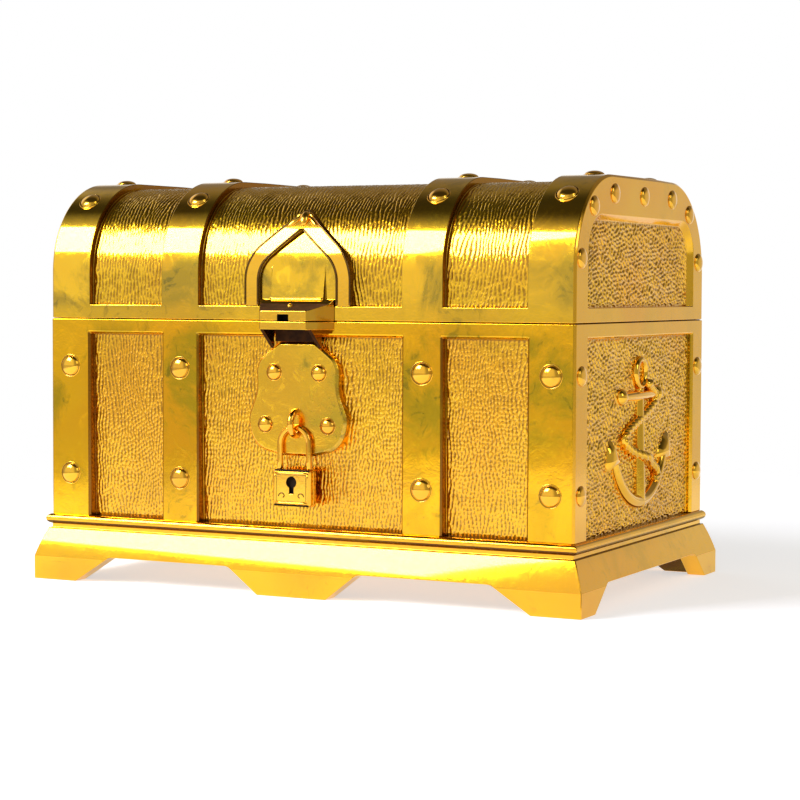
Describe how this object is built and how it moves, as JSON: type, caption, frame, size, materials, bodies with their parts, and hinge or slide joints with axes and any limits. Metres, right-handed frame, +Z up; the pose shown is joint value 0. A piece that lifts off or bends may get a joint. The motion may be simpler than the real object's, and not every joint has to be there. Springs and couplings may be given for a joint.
{
  "type": "treasure chest box",
  "caption": "Small gold keepsake chest with a strapped, studded tub, vaulted hinged lid, clasp plate, hanging padlock and a footed plinth",
  "frame": {"origin": "on the ground, in the middle of the box around the whole chest; the plinth's own middle is 1.65 mm behind it, because the clasp reaches further out in front than the hinges do behind", "axes": "+X along the chest's length to the right as seen from the front, +Y to the hinges at the back, +Z up"},
  "size_m": [0.163, 0.108, 0.1111],
  "materials": {
    "gold_body": "vacuum-plated gold on moulded plastic",
    "gold_lid": "vacuum-plated gold on moulded plastic",
    "gold_trim": "smooth vacuum-plated gold",
    "gold_padlock": "smooth vacuum-plated gold",
    "hinge_metal": "polished brass"
  },
  "bodies": {
    "base": {"plinth_base": "gold_body", "floor_panel": "gold_body", "tub_shell": "gold_body", "catch_bracket": "gold_trim", "lock_plate": "gold_trim", "lock_staple": "gold_trim", "lock_plate_rivets": "gold_trim", "tub_front_rivets": "gold_trim", "tub_back_rivets": "gold_trim", "tub_left_rivets": "gold_trim", "tub_right_rivets": "gold_trim", "side_relief_left": "gold_trim", "side_relief_right": "gold_trim", "hinge_tub_leaf_left": "hinge_metal", "hinge_tub_leaf_right": "hinge_metal", "hinge_pin_left": "hinge_metal", "hinge_pin_right": "hinge_metal"},
    "lid": {"lid_shell": "gold_lid", "lid_clasp": "gold_trim", "lid_front_rivets": "gold_trim", "lid_top_rivets": "gold_trim", "lid_back_rivets": "gold_trim", "lid_left_rivets": "gold_trim", "lid_right_rivets": "gold_trim", "hinge_lid_leaf_left": "hinge_metal", "hinge_lid_leaf_right": "hinge_metal"},
    "shackle": {"padlock_shackle": "gold_padlock"},
    "padlock": {"padlock_case_front": "gold_padlock", "padlock_case_back": "gold_padlock"}
  },
  "joints": [
    {"name": "lid_hinge", "type": "hinge", "parent": "base", "child": "lid", "pos_m": [0, 0.05215, 0.07212], "axis": [-1, 0, 0], "range_deg": [0, 105]},
    {"name": "padlock_swing", "type": "hinge", "parent": "base", "child": "shackle", "pos_m": [0, -0.04765, 0.04438], "axis": [-1, 0, 0], "range_deg": [0, 80]},
    {"name": "padlock_release", "type": "slide", "parent": "shackle", "child": "padlock", "axis": [0, 0, -1], "range_m": [0, 0.0032]}
  ]
}
